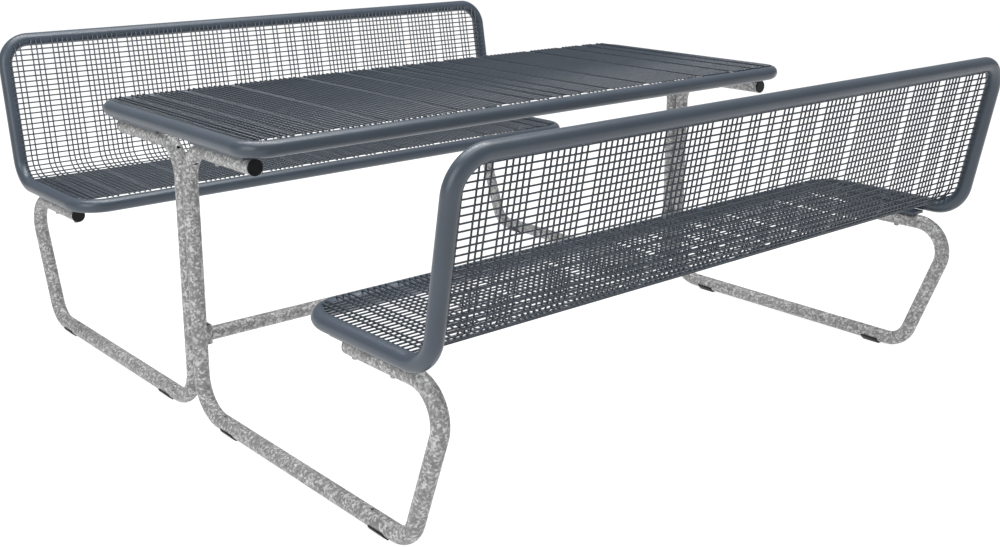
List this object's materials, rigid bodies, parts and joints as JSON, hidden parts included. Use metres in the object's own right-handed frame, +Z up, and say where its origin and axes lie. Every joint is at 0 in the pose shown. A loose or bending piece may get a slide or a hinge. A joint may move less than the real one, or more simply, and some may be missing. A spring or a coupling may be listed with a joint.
{
  "type": "picnic table",
  "caption": "Steel picnic table with a wire-mesh top and two wire-mesh benches with backs, all on bent round-tube end frames.",
  "frame": {"origin": "on the floor under the middle of the table", "axes": "+X along the table towards its right end, +Y across it towards the back bench, +Z up"},
  "size_m": [1.84, 2.1456, 0.8516],
  "materials": {
    "galvanised_steel": "hot-dip galvanised, mottled grey with light flecks, satin",
    "grey_powder_coat": "anthracite grey-blue powder coat, semi-gloss",
    "grey_wire_coat": "anthracite grey-blue coating over wire, semi-gloss",
    "black_plastic": "black moulded plastic, fine texture",
    "bolt_zinc": "dull zinc plate"
  },
  "bodies": {
    "root": {"leg_left_front": "galvanised_steel", "cap_table_left_front": "black_plastic", "table_strip_left_front": "grey_powder_coat", "cap_seat_left_front": "black_plastic", "seat_strip_left_front": "grey_powder_coat", "foot_pad_left_front_inner": "black_plastic", "seat_bolt_left_front_inner": "bolt_zinc", "foot_pad_left_front_outer": "black_plastic", "seat_bolt_left_front_outer": "bolt_zinc", "table_bolt_left_front": "bolt_zinc", "leg_left_back": "galvanised_steel", "cap_table_left_back": "black_plastic", "table_strip_left_back": "grey_powder_coat", "cap_seat_left_back": "black_plastic", "seat_strip_left_back": "grey_powder_coat", "foot_pad_left_back_inner": "black_plastic", "seat_bolt_left_back_inner": "bolt_zinc", "foot_pad_left_back_outer": "black_plastic", "seat_bolt_left_back_outer": "bolt_zinc", "table_bolt_left_back": "bolt_zinc", "crossbar_bracket_left": "galvanised_steel", "leg_right_front": "galvanised_steel", "cap_table_right_front": "black_plastic", "table_strip_right_front": "grey_powder_coat", "cap_seat_right_front": "black_plastic", "seat_strip_right_front": "grey_powder_coat", "foot_pad_right_front_inner": "black_plastic", "seat_bolt_right_front_inner": "bolt_zinc", "foot_pad_right_front_outer": "black_plastic", "seat_bolt_right_front_outer": "bolt_zinc", "table_bolt_right_front": "bolt_zinc", "leg_right_back": "galvanised_steel", "cap_table_right_back": "black_plastic", "table_strip_right_back": "grey_powder_coat", "cap_seat_right_back": "black_plastic", "seat_strip_right_back": "grey_powder_coat", "foot_pad_right_back_inner": "black_plastic", "seat_bolt_right_back_inner": "bolt_zinc", "foot_pad_right_back_outer": "black_plastic", "seat_bolt_right_back_outer": "bolt_zinc", "table_bolt_right_back": "bolt_zinc", "crossbar_bracket_right": "galvanised_steel", "crossbar": "galvanised_steel", "table_frame": "grey_powder_coat", "table_mesh": "grey_wire_coat", "bench_frame_front": "grey_powder_coat", "bench_mesh_front": "grey_wire_coat", "bench_frame_back": "grey_powder_coat", "bench_mesh_back": "grey_wire_coat"}
  },
  "joints": []
}
